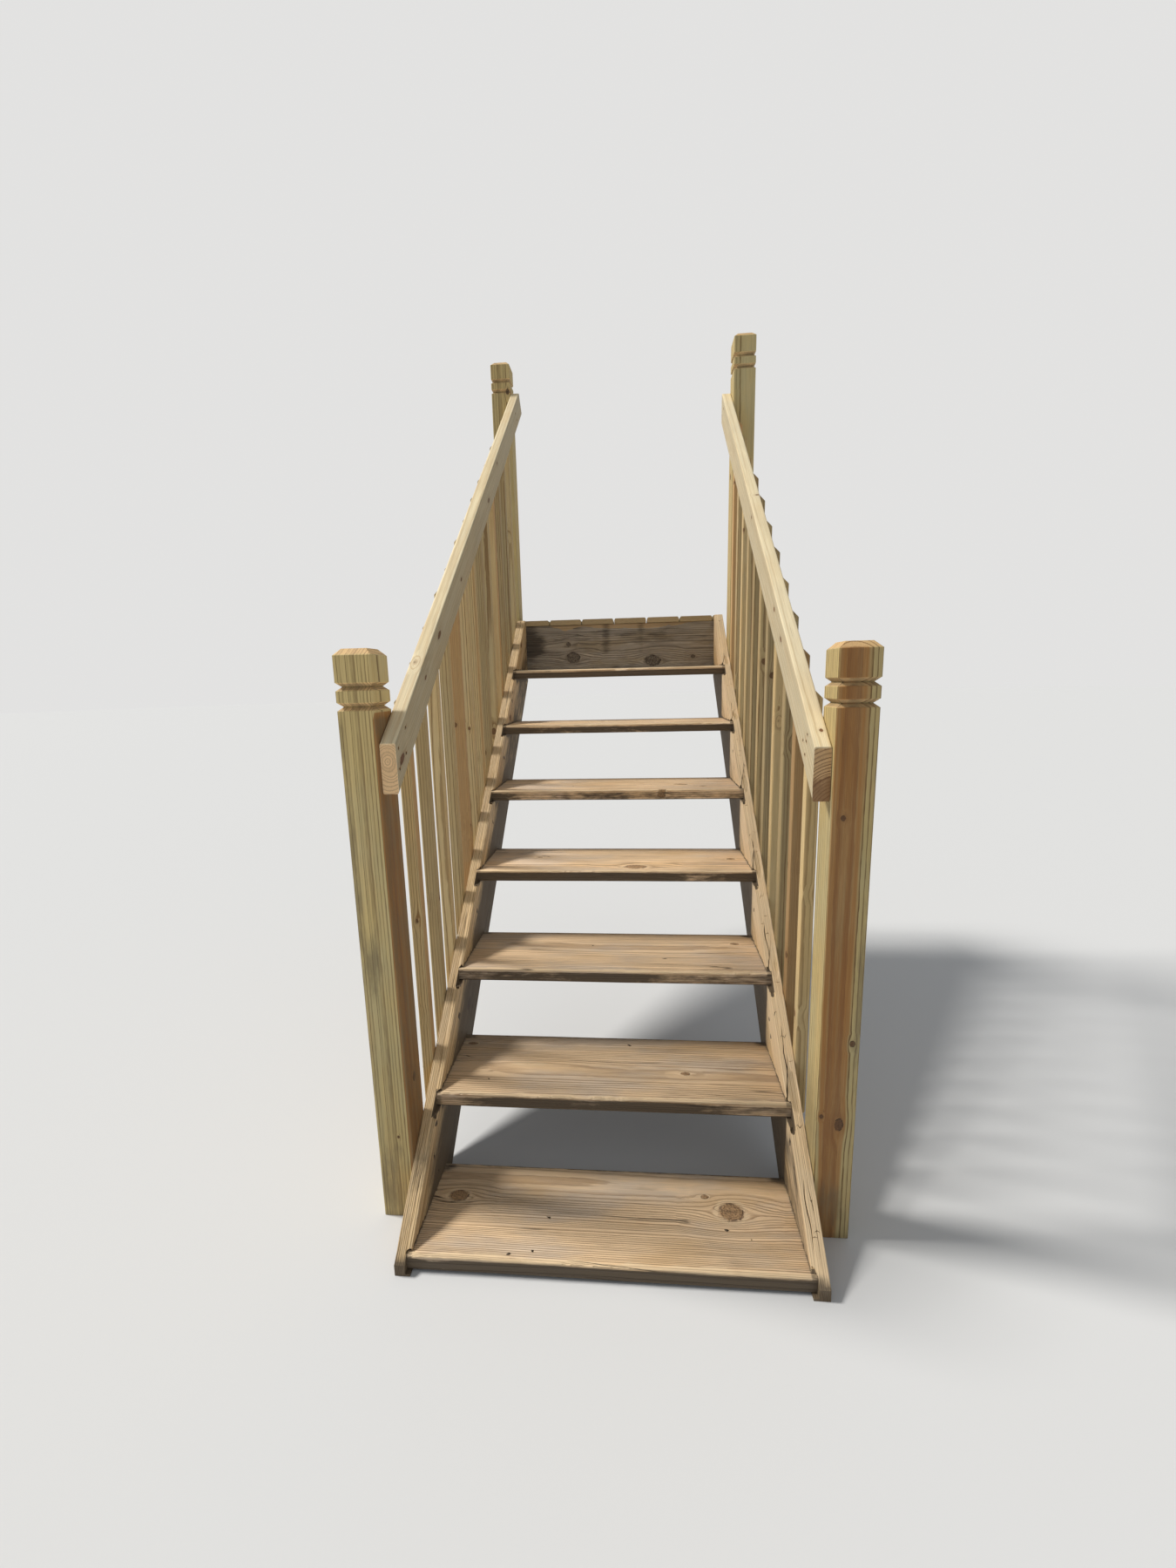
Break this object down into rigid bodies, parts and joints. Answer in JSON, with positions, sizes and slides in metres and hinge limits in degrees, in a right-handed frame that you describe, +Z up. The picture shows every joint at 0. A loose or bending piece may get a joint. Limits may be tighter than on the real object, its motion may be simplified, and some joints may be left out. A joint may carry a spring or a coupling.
{
  "type": "wooden deck stairs",
  "caption": "Straight flight of wooden deck stairs: open risers, treads housed in sloping stringers, square posts with grooved caps, handrails and balusters on both sides.",
  "frame": {"origin": "middle of the rim board's back face, where the stair is fastened to a deck", "axes": "+Z up, +Y up the flight and into the deck, +X to the right of someone walking up"},
  "size_m": [1.168, 1.986, 2.836],
  "materials": {
    "old_stringer_wood": "weathered sawn softwood, matt",
    "weathered_tread_wood": "weathered, grey brown, raised grain, worn edges",
    "dark_rim_wood": "old, dark grey, open grain",
    "new_deck_wood": "new pressure-treated pine, matt",
    "new_post_wood": "new pressure-treated pine, planed",
    "new_rail_wood": "new pressure-treated pine, planed",
    "new_baluster_wood": "new pressure-treated pine, planed"
  },
  "bodies": {
    "root": {"stringer_left": "old_stringer_wood", "stringer_right": "old_stringer_wood", "tread_1": "weathered_tread_wood", "tread_2": "weathered_tread_wood", "tread_3": "weathered_tread_wood", "tread_4": "weathered_tread_wood", "tread_5": "weathered_tread_wood", "tread_6": "weathered_tread_wood", "tread_7": "weathered_tread_wood", "rim_board": "dark_rim_wood", "deck_board_ends": "new_deck_wood", "lower_post_left": "new_post_wood", "lower_post_right": "new_post_wood", "upper_post_left": "new_post_wood", "upper_post_right": "new_post_wood", "handrail_left": "new_rail_wood", "handrail_right": "new_rail_wood", "baluster_left_1": "new_baluster_wood", "baluster_left_2": "new_baluster_wood", "baluster_left_3": "new_baluster_wood", "baluster_left_4": "new_baluster_wood", "baluster_left_5": "new_baluster_wood", "baluster_left_6": "new_baluster_wood", "baluster_left_7": "new_baluster_wood", "baluster_left_8": "new_baluster_wood", "baluster_left_9": "new_baluster_wood", "baluster_left_10": "new_baluster_wood", "baluster_left_11": "new_baluster_wood", "baluster_left_12": "new_baluster_wood", "baluster_left_13": "new_baluster_wood", "baluster_right_1": "new_baluster_wood", "baluster_right_2": "new_baluster_wood", "baluster_right_3": "new_baluster_wood", "baluster_right_4": "new_baluster_wood", "baluster_right_5": "new_baluster_wood", "baluster_right_6": "new_baluster_wood", "baluster_right_7": "new_baluster_wood", "baluster_right_8": "new_baluster_wood", "baluster_right_9": "new_baluster_wood", "baluster_right_10": "new_baluster_wood", "baluster_right_11": "new_baluster_wood"}
  },
  "joints": []
}
